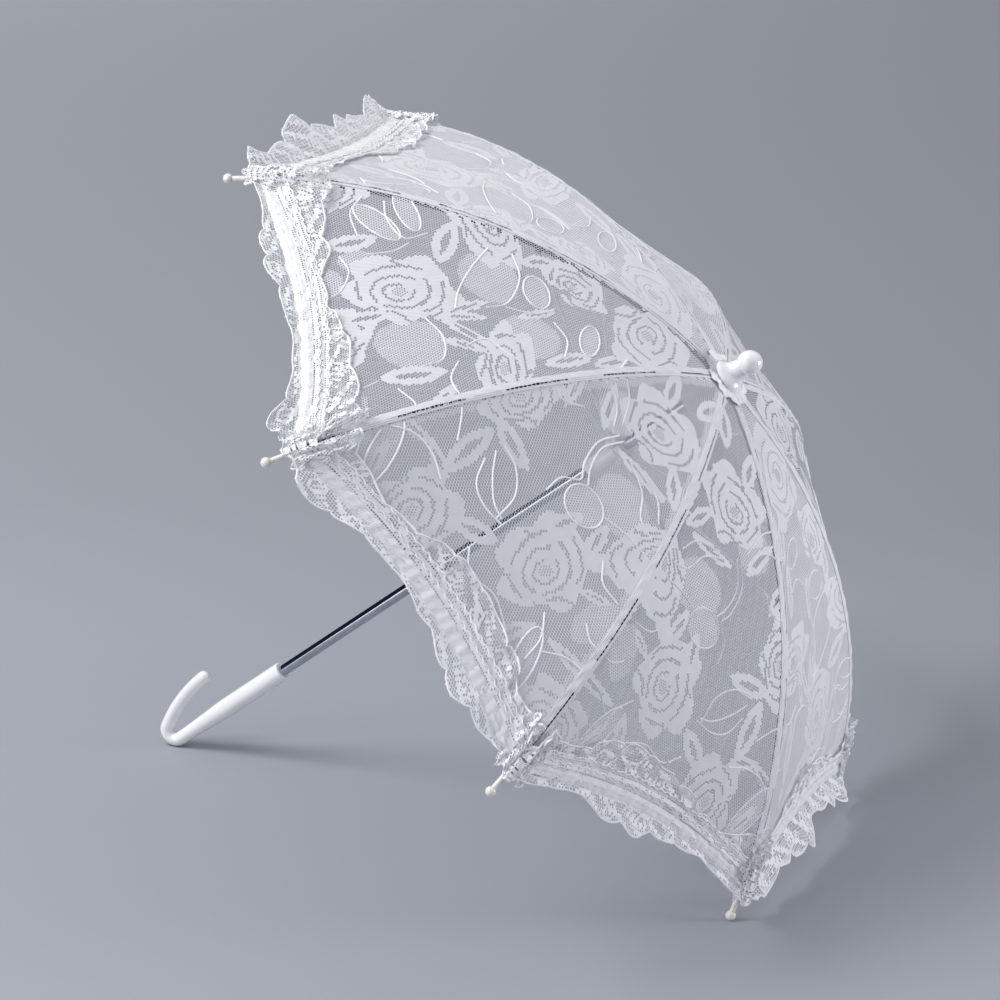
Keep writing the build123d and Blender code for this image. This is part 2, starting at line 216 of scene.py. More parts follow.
def on_gore(gore, x, y, lift):
    """Points of the frame for cloth points of a gore, raised by lift."""
    angle = angle_at(y)
    width = np.maximum(half_width(y), 1.0)
    slack = CLOTH_SAG * np.clip(1.0 - (x / width) ** 2, 0.0, 1.0) * np.clip(y / SAG_FULL_FROM, 0.0, 1.0)
    radius = ARC_RADIUS + CLOTH_LIFT + lift - slack
    points = to_row(
        radius * math.cos(HALF_TURN) * np.sin(angle),
        TURN * (gore - 1),
        x,
        ARC_CENTRE + radius * np.cos(angle),
    )
    points[..., 2] = np.maximum(points[..., 2], FLOOR_CLEARANCE * MM)
    return points


# Each gore is made in two halves, which its mid line parts: half is -1 or 1, the sign of x there.
def half_name(name, gore, half):
    """A piece's name with its gore's number and the letter of the half."""
    letter = "a" if half < 0 else "b"
    return f"{name}_{gore}{letter}"


def on_half(x, half):
    """Which points lie on this half of a gore."""
    return (x < 0.0) if half < 0 else (x >= 0.0)


def along_half(reach, half, count):
    """Evenly spaced places from one end of a half to the other."""
    return np.linspace(-reach, 0.0, count) if half < 0 else np.linspace(0.0, reach, count)


# ------------------------------------------------------------------ materials
def shader(name, colour, roughness, **sockets):
    """A new node material and its Principled shader, with plain numbers on its sockets."""
    material = bpy.data.materials.new(name)
    material.use_nodes = True
    principled = material.node_tree.nodes["Principled BSDF"]
    principled.inputs["Base Color"].default_value = (*colour, 1.0)
    principled.inputs["Roughness"].default_value = roughness
    for socket, value in sockets.items():
        principled.inputs[socket.replace("_", " ")].default_value = value
    return material, principled


def add_node(material, kind, **values):
    """A node with its sockets set by name."""
    node = material.node_tree.nodes.new(kind)
    for socket, value in values.items():
        node.inputs[socket.replace("_", " ")].default_value = value
    return node


def add_colour(material, principled, drift, dark, light, low=0.35, high=0.65):
    """Colour that drifts between two tones."""
    ramp = add_node(material, "ShaderNodeValToRGB")
    ramp.color_ramp.elements[0].position = low
    ramp.color_ramp.elements[1].position = high
    ramp.color_ramp.elements[0].color = (*dark, 1.0)
    ramp.color_ramp.elements[1].color = (*light, 1.0)
    material.node_tree.links.new(drift, ramp.inputs["Fac"])
    material.node_tree.links.new(ramp.outputs["Color"], principled.inputs["Base Color"])


def add_roughness(material, principled, noise, low, high):
    """Roughness that varies between two values with a noise."""
    spread = add_node(material, "ShaderNodeMapRange", To_Min=low, To_Max=high)
    material.node_tree.links.new(noise.outputs["Fac"], spread.inputs["Value"])
    material.node_tree.links.new(spread.outputs["Result"], principled.inputs["Roughness"])


def add_bump(material, principled, height, strength, distance):
    """Bump from a height output."""
    bump = add_node(material, "ShaderNodeBump", Strength=strength, Distance=distance * MM)
    material.node_tree.links.new(height, bump.inputs["Height"])
    material.node_tree.links.new(bump.outputs["Normal"], principled.inputs["Normal"])


def noise_at(material, scale, detail=3.0, source="Object"):
    """A noise over the object's own coordinates."""
    place = add_node(material, "ShaderNodeTexCoord")
    noise = add_node(material, "ShaderNodeTexNoise", Scale=scale, Detail=detail)
    material.node_tree.links.new(place.outputs[source], noise.inputs["Vector"])
    return noise


def cloth_thread(name, dark, light, rib_pitch):
    """White polyester thread: satin ribs across the cloth with painted shade in the hollows between them, a
    tone uneven at random, and a fine fuzz.
    """
    material, principled = shader(name, light, 0.55, Sheen_Weight=0.5, Sheen_Roughness=0.35)
    principled.inputs["Specular IOR Level"].default_value = 0.35
    weave = add_node(material, "ShaderNodeAttribute")
    weave.attribute_name = "cloth"
    ribs = add_node(material, "ShaderNodeTexWave", Scale=math.tau / rib_pitch / 20.0, Distortion=2.5)
    ribs.inputs["Detail"].default_value = 2.0
    ribs.inputs["Detail Scale"].default_value = 0.6
    material.node_tree.links.new(weave.outputs["Vector"], ribs.inputs["Vector"])
    drift = noise_at(material, 90.0)
    # the colour follows the ribs' wave: painted shade in the hollows between the ribs, mixed with a tone that
    # is uneven at random
    rib_shade_and_tone = add_node(material, "ShaderNodeMix", Factor=0.45)
    material.node_tree.links.new(ribs.outputs["Fac"], rib_shade_and_tone.inputs["A"])
    material.node_tree.links.new(drift.outputs["Fac"], rib_shade_and_tone.inputs["B"])
    add_colour(material, principled, rib_shade_and_tone.outputs["Result"], dark, light, 0.2, 0.7)
    add_bump(material, principled, ribs.outputs["Fac"], 0.5, 0.2)
    return material


def moulded_plastic(name, colour, roughness, coat):
    """Moulded plastic: even colour, a slow waviness from the mould and faint handling marks."""
    material, principled = shader(name, colour, roughness, Coat_Weight=coat, Coat_Roughness=0.06)
    principled.inputs["Subsurface Weight"].default_value = 0.5
    principled.inputs["Subsurface Radius"].default_value = (0.009, 0.009, 0.009)
    noise = noise_at(material, 60.0, 4.0)
    darker = tuple(0.96 * part for part in colour)
    add_colour(material, principled, noise.outputs["Fac"], darker, colour)
    add_roughness(material, principled, noise, roughness * 0.8, roughness * 1.3)
    add_bump(material, principled, noise_at(material, 140.0, 2.0).outputs["Fac"], 0.08, 0.2)
    return material


def drawn_steel(name, dark, light, roughness, metallic=1.0):
    """Drawn steel: metal with fine marks, a little uneven in tone."""
    material, principled = shader(name, light, roughness, Metallic=metallic)
    noise = noise_at(material, 220.0, 5.0)
    add_colour(material, principled, noise.outputs["Fac"], dark, light)
    add_roughness(material, principled, noise, roughness * 0.7, roughness * 1.5)
    add_bump(material, principled, noise_at(material, 700.0, 2.0).outputs["Fac"], 0.12, 0.05)
    return material


lace_thread = cloth_thread("lace_thread", (0.64, 0.64, 0.69), (0.83, 0.83, 0.875), 1.05)
cord_thread = cloth_thread("cord_thread", (0.88, 0.88, 0.91), (0.97, 0.97, 0.985), 0.7)
trim_thread = cloth_thread("trim_thread", (0.82, 0.825, 0.86), (0.95, 0.95, 0.97), 1.1)
FINISHES = {
    "handle_white": moulded_plastic("handle_plastic", (0.93, 0.94, 0.97), 0.16, 0.6),
    "knob_white": moulded_plastic("knob_plastic", (0.90, 0.90, 0.94), 0.16, 0.6),
    "tip_cream": moulded_plastic("tip_plastic", (0.88, 0.86, 0.80), 0.28, 0.3),
    "crown_ivory": moulded_plastic("crown_plastic", (0.86, 0.84, 0.74), 0.35, 0.2),
    "runner_white": moulded_plastic("runner_plastic", (0.90, 0.95, 0.93), 0.2, 0.5),
    "steel_chrome": drawn_steel("shaft_chrome", (0.44, 0.47, 0.52), (0.55, 0.58, 0.63), 0.08),
    "rib_steel": drawn_steel("rib_steel", (0.03, 0.03, 0.04), (0.10, 0.10, 0.12), 0.3),
    "stretcher_steel": drawn_steel("stretcher_steel", (0.86, 0.87, 0.90), (0.95, 0.95, 0.97), 0.3, 0.35),
    "wire_bright": drawn_steel("binding_wire", (0.62, 0.60, 0.52), (0.85, 0.84, 0.78), 0.25),
    "spring_steel": drawn_steel("spring_steel", (0.35, 0.35, 0.38), (0.6, 0.6, 0.63), 0.25),
}


def finish_cad_nodes():
    """Gives every CAD node that stays the finish of its slot."""
    for node in frame["nodes"].values():
        for place in node.material_slots:
            place.material = FINISHES.get(place.material.name, place.material)


# ------------------------------------------------------------------ meshes
def mesh_object(name, points, faces, material, body, cloth=None):
    """A piece made of points and faces that rides on a body."""
    mesh = bpy.data.meshes.new(name)
    mesh.from_pydata(points.tolist(), [], faces)
    if cloth is not None:
        layer = mesh.attributes.new("cloth", "FLOAT_VECTOR", "POINT")
        values = np.zeros((len(points), 3), np.float32)
        values[:, :2] = cloth
        layer.data.foreach_set("vector", values.ravel())
    mesh.materials.append(material)
    mesh.update()
    piece = bpy.data.objects.new(name, mesh)
    bpy.context.scene.collection.objects.link(piece)
    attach(piece, body)
    return piece


def thicken(piece, thickness):
    """Gives a sheet its thickness, half on each side."""
    solid = piece.modifiers.new("thickness", "SOLIDIFY")
    solid.thickness = thickness * MM
    solid.offset = 0.0


CELL_CORNERS = ((0, 2), (1, 1), (1, -1), (0, -2), (-1, -1), (-1, 1))


def hexagon_cells(x_from, x_to, y_from, y_to, pitch, row):
    """Column and row numbers of the cells of a hexagonal net over a rectangle."""
    rows = np.arange(math.floor(y_from / row), math.ceil(y_to / row) + 1)
    columns = np.arange(math.floor(2 * x_from / pitch) - 1, math.ceil(2 * x_to / pitch) + 2)
    column, line = np.meshgrid(columns, rows)
    fits = (column + line) % 2 == 0
    return column[fits], line[fits]


def hexagon_mesh(column, line, kind, pitch, row):
    """Flat points and faces of the cells: a filled cell is one face, an open one a ring."""
    corners = np.array(CELL_CORNERS)
    keys = np.stack([column[:, None] + corners[:, 0], 3 * line[:, None] + corners[:, 1]], axis=-1)
    flat_keys = keys.reshape(-1, 2)
    shared, index = np.unique(flat_keys, axis=0, return_inverse=True)
    index = index.reshape(-1, 6)
    points = shared * np.array([pitch / 2, row / 3])
    centres = np.stack([column * pitch / 2, line * row], axis=-1)
    faces = [list(cell) for cell in index[kind == SOLID]]
    rings = []
    count = len(points)
    for state, share in HOLE_SHARE.items():
        chosen = np.flatnonzero(kind == state)
        spokes = points[index[chosen]] - centres[chosen][:, None]
        slanted = spokes * share + spokes[..., 1:2] * np.array([CELL_SLANT, 0.0]) * share
        rings.append((centres[chosen][:, None] + slanted).reshape(-1, 2))
        inner = count + np.arange(len(chosen) * 6).reshape(-1, 6)
        outer = index[chosen]
        count += len(chosen) * 6
        for k in range(6):
            after = (k + 1) % 6
            quads = np.stack([outer[:, k], outer[:, after], inner[:, after], inner[:, k]], axis=-1)
            faces.extend(quads.tolist())
    return np.concatenate([points, *rings]), faces


def smooth_line(points, step=1.5):
    """A smooth curve through the points, as evenly spaced points."""
    given = np.array(points, float)
    ends = np.concatenate([2 * given[:1] - given[1:2], given, 2 * given[-1:] - given[-2:-1]])
    pieces = []
    for a, b, c, d in zip(ends[:-3], ends[1:-2], ends[2:-1], ends[3:]):
        count = max(2, int(np.linalg.norm(c - b) / step))
        t = np.linspace(0.0, 1.0, count, endpoint=False)[:, None]
        squared = (2 * a - 5 * b + 4 * c - d) * t**2
        cubed = (3 * b - a - 3 * c + d) * t**3
        pieces.append(0.5 * (2 * b + (c - a) * t + squared + cubed))
    pieces.append(given[-1:])
    return np.concatenate(pieces)


def strip_faces(first, second, size):
    """Quads between two rows of points, given where each row starts."""
    return [[first + i, first + i + 1, second + i + 1, second + i] for i in range(size - 1)]


def cord_mesh(lines, width, height):
    """Flat points, their heights and the faces of raised cords along flat lines."""
    points, heights, faces = [], [], []
    count = 0
    for line in lines:
        if len(line) < 2:
            continue
        along = np.gradient(line, axis=0)
        along /= np.maximum(np.linalg.norm(along, axis=1, keepdims=True), 1e-9)
        across = np.stack([-along[:, 1], along[:, 0]], axis=-1) * width / 2
        ring = [(line + across, 0.0), (line, height), (line - across, 0.0), (line, -height / 3)]
        for place, raised in ring:
            points.append(place)
            heights.append(np.full(len(line), raised))
        size = len(line)
        for k in range(4):
            faces.extend(strip_faces(count + k * size, count + (k + 1) % 4 * size, size))
        starts = [count + k * size for k in range(4)]
        faces.append(starts[::-1])
        faces.append([start + size - 1 for start in starts])
        count += 4 * size
    return np.concatenate(points), np.concatenate(heights), faces


# ------------------------------------------------------------------ the pattern of the lace
# Every motif is placed on the flat gore: (x, y, half width, half height, turn in degrees).
FRONT = {
    "roses": [
        (23, 205, 24, 29, 15),
        (-38, 252, 23, 29, 165),
        (2, 88, 23, 29, 75),
        (56, 148, 19, 35, 200),
        (-60, 160, 17, 27, 20),
        (92, 254, 17, 24, 90),
    ],
    "leaves": [
        (-50, 204, 19, 7, 84),
        (-40, 181, 17, 6, 4),
        (-14, 229, 14, 6, -30),
        (43, 244, 15, 4.5, 100),
        (62, 252, 15, 3.5, 66),
        (76, 226, 20, 4, -10),
        (-78, 226, 16, 3.5, -22),
        (-74, 252, 14, 3, 62),
        (-56, 222, 12, 4, 10),
        (-45, 126, 14, 4, 66),
        (-26, 112, 16, 4.5, 55),
        (16, 122, 20, 4, -8),
        (-12, 60, 14, 6, 70),
        (10, 40, 14, 7, 95),
        (32, 108, 14, 5, 40),
        (-92, 272, 16, 6, 20),
        (30, 172, 12, 5, 70),
        (12, 182, 12, 5, 100),
        (54, 192, 10, 3, -30),
    ],
    "windows": [
        (10, 166, 13, 11, 0),
        (58, 246, 19, 6.5, 62),
        (-76, 246, 21, 7, 64),
    ],
    "clouds": [
        (22, 146, 20, 16, 0),
        (26, 250, 16, 9, 0),
        (-20, 108, 14, 14, 0),
        (64, 202, 10, 16, 0),
    ],
    "cords": [
        [(-10, 118), (-14, 134), (-9, 150), (-3, 158), (-10, 168), (-9, 180)],
        [(-6, 118), (-10, 134), (-5, 148), (2, 156)],
        [(4, 122), (22, 128), (34, 140), (46, 142)],
        [(10, 120), (30, 122), (42, 132)],
        [(20, 160), (36, 154), (50, 152)],
        [(-42, 186), (-28, 188), (-16, 198), (-12, 214)],
        [(-42, 192), (-32, 202), (-20, 210), (-10, 212)],
        [(-42, 200), (-34, 212), (-22, 216), (-8, 214)],
        [(-82, 190), (-70, 196), (-58, 208)],
        [(-86, 236), (-74, 226), (-60, 224), (-46, 228)],
        [(44, 222), (54, 232), (58, 246)],
        [(60, 236), (72, 226), (90, 222)],
        [(-8, 236), (4, 244), (22, 240), (40, 246)],
        [(-48, 110), (-36, 104), (-24, 108), (-16, 118)],
        [(-56, 136), (-44, 138), (-34, 128)],
        [(40, 176), (50, 184), (64, 184)],
        [(62, 206), (72, 210), (84, 206)],
        [(-36, 88), (-24, 96), (-14, 112)],
    ],
}
SIDE = {
    "roses": [
        (-9, 215, 24, 32, 10),
        (52, 162, 16, 38, 100),
        (-62, 160, 18, 36, 250),
        (30, 254, 27, 17, 40),
        (2, 62, 24, 32, 140),
        (-24, 108, 15, 20, 30),
        (-86, 250, 16, 24, 10),
    ],
    "leaves": [
        (56, 216, 20, 6.5, 80),
        (6, 182, 17, 3.5, 64),
        (13, 184, 15, 3, 84),
        (25, 181, 18, 3.5, -55),
        (34, 184, 14, 3, -70),
        (30, 96, 14, 4.5, 60),
        (74, 204, 15, 4, 40),
        (-44, 184, 18, 7, 20),
        (-44, 238, 16, 6, 80),
        (-62, 262, 22, 6, 0),
        (13, 236, 14, 5, 75),
        (36, 124, 16, 5, 70),
        (86, 258, 14, 7, 80),
        (-36, 130, 12, 5, 80),
        (4, 138, 14, 3, 75),
    ],
    "windows": [
        (-13, 135, 12, 8, 0),
        (17, 107, 13, 6, 20),
        (-66, 204, 15, 6, -15),
        (-58, 222, 17, 7, -40),
    ],
    "clouds": [
        (33, 214, 18, 20, 0),
        (-20, 162, 19, 18, 0),
        (-14, 256, 11, 9, 10),
        (76, 256, 15, 12, 0),
        (22, 146, 16, 19, 0),
        (-30, 236, 8, 12, 0),
    ],
    "cords": [
        [(-42, 160), (-26, 172), (-8, 182), (6, 186)],
        [(-40, 146), (-22, 144), (-2, 154), (4, 168)],
        [(-50, 194), (-46, 208), (-60, 216), (-74, 216)],
        [(34, 184), (28, 172), (38, 160), (44, 152)],
        [(8, 128), (20, 122), (34, 126)],
        [(46, 190), (60, 196), (78, 190)],
        [(-42, 206), (-36, 216), (-34, 232)],
        [(60, 236), (64, 246), (62, 262)],
        [(-34, 246), (-22, 242), (-8, 248), (-2, 258)],
        [(24, 84), (34, 92), (40, 104)],
        [(-2, 126), (4, 140), (2, 156)],
        [(-78, 228), (-66, 236), (-48, 234)],
        [(14, 204), (28, 196), (44, 198), (50, 210)],
        [(66, 226), (78, 218), (86, 224)],
    ],
}
# A rose of unit radius: each line is a row of open cells between two petals.
PETAL_EDGES = [
    [(-0.10, 0.00), (0.00, 0.26), (0.24, 0.30), (0.40, 0.08), (0.30, -0.18), (0.05, -0.24)],
    [(-0.30, -0.20), (-0.34, 0.12), (-0.15, 0.42), (0.20, 0.52), (0.50, 0.40)],
    [(0.60, 0.24), (0.60, -0.12), (0.38, -0.42), (0.02, -0.50), (-0.32, -0.42)],
    [(-0.62, -0.34), (-0.66, 0.02), (-0.56, 0.36), (-0.30, 0.66)],
    [(1.00, -0.20), (0.80, 0.00), (0.78, 0.26), (0.70, 0.50)],
    [(-0.30, -0.72), (0.10, -0.74), (0.44, -0.68), (0.66, -0.46)],
    [(-0.08, 0.78), (0.24, 0.76), (0.52, 0.66)],
    [(-1.00, 0.24), (-0.80, 0.16), (-0.66, 0.04)],
]
ROSE_HEART = (0.14, 0.04, 0.15)


def turned(x, y, motif):
    """Points in a motif's own directions, measured from its middle."""
    middle_x, middle_y, _, _, turn = motif
    c, s = math.cos(math.radians(turn)), math.sin(math.radians(turn))
    dx, dy = x - middle_x, y - middle_y
    return dx * c + dy * s, dy * c - dx * s


def motif_line(motif, unit):
    """A motif's own points, in shares of its half width and half height, on the flat gore."""
    middle_x, middle_y, half_x, half_y, turn = motif
    u, v = unit[:, 0] * half_x, unit[:, 1] * half_y
    c, s = math.cos(math.radians(turn)), math.sin(math.radians(turn))
    return np.stack([middle_x + u * c - v * s, middle_y + u * s + v * c], axis=-1)


def near(x, y, line, distance):
    """Which points lie within a distance of a line of points."""
    close = np.zeros(len(x), bool)
    low, high = line.min(0) - distance, line.max(0) + distance
    chosen = np.flatnonzero((x > low[0]) & (x < high[0]) & (y > low[1]) & (y < high[1]))
    gaps = np.hypot(x[chosen, None] - line[None, :, 0], y[chosen, None] - line[None, :, 1])
    close[chosen] = gaps.min(1, initial=1e9) < distance
    return close


def draw_rose(kind, x, y, motif):
    """A rose: filled lobed petals, rows of open cells between them and a net heart."""
    u, v = turned(x, y, motif)
    u, v = u / motif[2], v / motif[3]
    distance, angle = np.hypot(u, v), np.arctan2(v, u)
    edge = 1.0 + 0.11 * np.cos(5 * angle + 0.6) + 0.05 * np.cos(9 * angle)
    kind[distance < edge] = SOLID
    for petal in PETAL_EDGES:
        line = motif_line(motif, smooth_line(petal, 0.03))
        kind[near(x, y, line, 0.52 * NET_PITCH) & (distance < edge - 0.04)] = OPEN
    heart_u, heart_v, heart = ROSE_HEART
    kind[np.hypot(u - heart_u, v - heart_v) < heart] = DENSE


def draw_leaf(kind, x, y, motif):
    """A pointed leaf with an open slit along its middle."""
    u, v = turned(x, y, motif)
    along = np.clip(1.0 - (u / motif[2]) ** 2, 0.0, 1.0)
    kind[(np.abs(u) < motif[2]) & (np.abs(v) < motif[3] * along**0.7)] = SOLID
    slit = np.clip(1.0 - (u / (0.62 * motif[2])) ** 2, 0.0, 1.0)
    kind[(slit > 0.0) & (np.abs(v) < 0.32 * motif[3] * slit)] = OPEN


def draw_window(kind, x, y, motif):
    """An oval of closer net."""
    u, v = turned(x, y, motif)
    inside = (u / motif[2]) ** 2 + (v / motif[3]) ** 2 < 1.0
    kind[inside & (kind == OPEN)] = DENSE


def pattern_of(gore):
    """The pattern drawn on a gore: the same cloth, turned over on half of them."""
    patterns = ((SIDE, -1), (SIDE, 1), (FRONT, 1), (FRONT, -1))
    return patterns[(gore - 1) % len(patterns)]


def net_kinds(gore, x, y):
    """What every cell of a gore is: open, half closed or filled."""
    pattern, flip = pattern_of(gore)
    across = x * flip
    kind = np.full(len(x), OPEN)
    for motif in pattern["windows"] + pattern["clouds"]:
        draw_window(kind, across, y, motif)
    for motif in pattern["roses"]:
        draw_rose(kind, across, y, motif)
    for motif in pattern["leaves"]:
        draw_leaf(kind, across, y, motif)
    from_seam = (half_width(y) - np.abs(x)) * math.cos(HALF_TURN)
    if gore in CLOSE_GORES:
        kind[kind == OPEN] = DENSE
    if gore % 2:
        kind[(from_seam < SEAM_ALLOWANCE) & (kind == OPEN)] = DENSE
    kind[from_seam < SEAM_BAND] = SOLID
    kind[hem_at(x) - y < HEM_BAND] = SOLID
    return kind


def half_gore_cells(gore, half):
    """The cells on one half of a gore and what each one is."""
    column, line = hexagon_cells(-NET_REACH, NET_REACH, TOP_Y, NET_LENGTH, NET_PITCH, NET_ROW)
    x, y = column * NET_PITCH / 2, line * NET_ROW
    inside = (np.abs(x) < half_width(y) - SEAM_EDGE) & (y > TOP_Y) & (y < hem_at(x))
    inside &= on_half(x, half)
    column, line = column[inside], line[inside]
    return column, line, net_kinds(gore, column * NET_PITCH / 2, line * NET_ROW)


def pulled(flat):
    """The net drawn a little out of true, as stretched lace is."""
    x, y = flat[:, 0], flat[:, 1]
    across = NET_PULL_ACROSS * np.sin(y / 11.0 + x / 37.0)
    down = NET_PULL_DOWN * np.sin(x / 13.0 + y / 41.0)
    return np.stack([x + across, y + down], axis=-1)


def make_half_gore(gore, half, body):
    """One half of a gore's lace, sewn to one rib."""
    column, line, kind = half_gore_cells(gore, half)
    flat, faces = hexagon_mesh(column, line, kind, NET_PITCH, NET_ROW)
    drawn = pulled(flat)
    x = np.clip(drawn[:, 0], -half_width(drawn[:, 1]), half_width(drawn[:, 1]))
    y = np.minimum(drawn[:, 1], hem_at(x))
    points = on_gore(gore, x, y, 0.0)
    piece = mesh_object(half_name("lace", gore, half), points, faces, lace_thread, body, flat)
    thicken(piece, CLOTH_THICKNESS)
    return piece, np.stack([column * NET_PITCH / 2, line * NET_ROW], axis=-1)


def pattern_lines(gore):
    """The outline cords of a gore, as lines of flat points."""
    pattern, flip = pattern_of(gore)
    lines = [smooth_line(points) for points in pattern["cords"]]
    angles = np.linspace(0.0, math.tau, 60)
    rim = np.stack([np.cos(angles), np.sin(angles)], axis=-1)
    for motif in pattern["windows"]:
        lines.append(motif_line(motif, rim))
    return [line * np.array([flip, 1.0]) for line in lines]


def kept_runs(line, keep):
    """The stretches of a line whose points are all kept."""
    runs, current = [], []
    for point, good in zip(line, keep):
        if good:
            current.append(point)
        elif current:
            runs.append(np.array(current))
            current = []
    if current:
        runs.append(np.array(current))
    return [run for run in runs if len(run) > 2]


def make_cords(gore, half, body):
    """The outline cords on one half of a gore."""
    runs = []
    for line in pattern_lines(gore):
        x, y = line[:, 0], line[:, 1]
        keep = (np.abs(x) < half_width(y) - CORD_MARGIN) & (y < hem_at(x) - CORD_MARGIN) & (y > TOP_Y + 2.0)
        keep &= x * half >= -CORD_OVERLAP
        runs.extend(kept_runs(line, keep))
    flat, raised, faces = cord_mesh(runs, CORD_WIDTH, CORD_HEIGHT)
    points = on_gore(gore, flat[:, 0], flat[:, 1], raised + CORD_LIFT)
    return mesh_object(half_name("cords", gore, half), points, faces, cord_thread, body, flat)


# ------------------------------------------------------------------ seams over the ribs
def make_seam(rib):
    """The felled seam over a rib: a soft band beside it and a row of slots that shows the steel."""
    y = np.arange(TOP_Y, float(hem_at(HEM_CORNER)) - 1.0, SLOT_STEP)
    edges = np.stack([y, y + SLOT_STEP * SLOT_SHARE], axis=-1).reshape(-1)
    before, after = rib - 1 or RIB_COUNT, rib
    rows, flat = [], []
    for offset in SEAM_LINES:
        gore = before if offset < 0 else after
        x = np.maximum(half_width(edges) - abs(offset), 0.3 * half_width(edges))
        puckers = 0.22 * np.sin(edges / 1.9 + offset) + 0.15 * np.sin(edges / 4.7 + 2.0 * rib)
        lift = SEAM_LIFT + (SEAM_PUFF + puckers) * (SEAM_LINES[0] < offset < 0)
        rows.append(on_gore(gore, x * (1 if offset < 0 else -1), edges, lift))
        flat.append(np.stack([np.full(len(edges), offset), edges], axis=-1))
    size = len(edges)
    shows = np.sin(edges / SLOT_RUN * math.pi + 1.7 * rib) > SLOT_SHOWS
    faces = []
    for strip in range(len(SEAM_LINES) - 1):
        for i, face in enumerate(strip_faces(strip * size, (strip + 1) * size, size)):
            slot = strip == SLOT_STRIP and i % 2 == 0 and shows[i]
            if not slot:
                faces.append(face)
    body = f"rib_arm_{rib}"
    points = np.concatenate(rows)
    piece = mesh_object(f"seam_{rib}", points, faces, lace_thread, body, np.concatenate(flat))
    thicken(piece, CLOTH_THICKNESS)
    return piece


# ------------------------------------------------------------------ the gathered trim
def scallop(along, phase):
    """A row of uneven rounded lobes, at most 1 deep."""
    wander = 0.5 * np.sin(0.057 * along + 2.0 * phase) + 0.12 * np.sin(0.131 * along - phase)
    lobe = 0.62 + 0.38 * np.abs(np.sin(math.pi * along / TRIM_SCALLOP + phase + wander)) ** 0.7
    return lobe * (0.85 + 0.15 * np.sin(0.083 * along + 3.0 * phase))


def trim_corner(along):
    """How near the trim is to a corner of its gore, from 0 to 1."""
    return np.exp(-(((TRIM_REACH - np.abs(along)) / TRIM_CORNER) ** 2))


def on_trim(gore, along, down, raised):
    """Points of the frame for trim points: along its gathered length and across its width."""
    away = np.clip(np.abs(down + TRIM_HEADING / 2) / TRIM_IN, 0.0, 1.3)
    phase = 0.31 * along + 1.5 * np.sin(0.083 * along + 1.7 * gore)
    strength = 0.55 + 0.45 * np.sin(0.061 * along + 2.3 * gore)
    fade = np.clip((TRIM_REACH - np.abs(along)) / TRIM_FADE, 0.0, 1.0)
    outside = np.clip(down / 6.0, 0.0, 1.0)
    shift = (0.2 + away) * (1.0 - 0.85 * outside) * strength * fade * np.sin(2.0 * phase + 0.6)
    share = (along + shift) / TRIM_REACH
    y = hem_at(share * HEM_CORNER) + down + away * fade * 0.9 * np.sin(0.5 * phase + gore)
    x = np.clip(share, -1.0, 1.0) * half_width(y) * 0.995
    lengthwise = 0.5 * (1.0 + np.sin(1.05 * down + 1.6 * np.sin(0.031 * along + gore)))
    folds = 1.0 + (1.0 - outside) * np.sin(phase + 0.05 * down) + outside * np.sin(0.4 * phase + gore)
    stand = TRIM_STANDING.get(gore, 1.0)
    wave = 0.9 + 0.1 * np.sin(0.11 * along + 2.0 * gore)
    flare = np.clip(down, 0.0, None) * TRIM_FLARE * stand * (stand + wave - 1.0)
    ruffle = (0.05 + 1.2 * away**1.5) * strength * folds
    bunch = TRIM_CORNER_LIFT * trim_corner(along) * away * (0.6 + 0.4 * np.sin(2.0 * phase))
    lift = TRIM_LIFT + raised + 0.7 * lengthwise + ruffle + flare * fade + bunch
    return on_gore(gore, x, y, lift)


def trim_edges(gore, along):
    """The scalloped edges of the trim: how far it reaches up the gore and past the hem."""
    drift = np.sin(0.034 * along + 1.9 * gore)
    turned_out = 0.5 + 0.5 * np.sin(0.045 * along + 2.6 * gore)
    reach_in = TRIM_IN + TRIM_IN_DRIFT * drift + TRIM_IN_SCALLOP * scallop(along, gore)
    inner = -(reach_in + TRIM_CORNER_IN * trim_corner(along))
    to_corner = np.clip((TRIM_REACH - np.abs(along)) / TRIM_CORNER_OUT, 0.3, 1.0)
    if gore in TRIM_STANDING:
        reach_out = TRIM_OUT_SCALLOP * TRIM_STANDING[gore] * (0.6 + 0.4 * turned_out) * to_corner
    else:
        reach_out = TRIM_OUT_SCALLOP * (0.15 + 0.85 * turned_out**1.5) * to_corner
    return inner, TRIM_OUT + reach_out * scallop(along, 0.7 * gore)


def trim_kinds(gore, along, down):
    """What every cell of the trim is: filled along its heading, floral beyond it."""
    kind = np.full(len(along), OPEN)
    cloud = np.sin(along * 0.83 + 1.3 * gore) * np.sin(down * 1.05 + 0.4 * along)
    cloud += 0.7 * np.sin(along * 0.31 - down * 0.55) + 0.3 * np.sin(2.3 * along + 1.9 * down)
    kind[cloud > 0.55] = SOLID
    kind[(cloud > 0.2) & (cloud <= 0.55)] = DENSE
    flower = np.mod(along + TRIM_SCALLOP / 2, TRIM_SCALLOP) - TRIM_SCALLOP / 2
    for middle in FLOWER_MIDDLES:
        ring = np.hypot(flower, down - middle)
        kind[np.abs(ring - FLOWER_RING) < 0.8] = SOLID
        kind[ring < FLOWER_HEART] = SOLID
    heading = (down > -TRIM_HEADING) & (down < -1.0)
    streak = np.sin(1.7 * down + 0.6 * np.sin(0.12 * along + gore))
    kind[heading] = DENSE
    kind[heading & (cloud + streak > 0.25)] = SOLID
    return kind


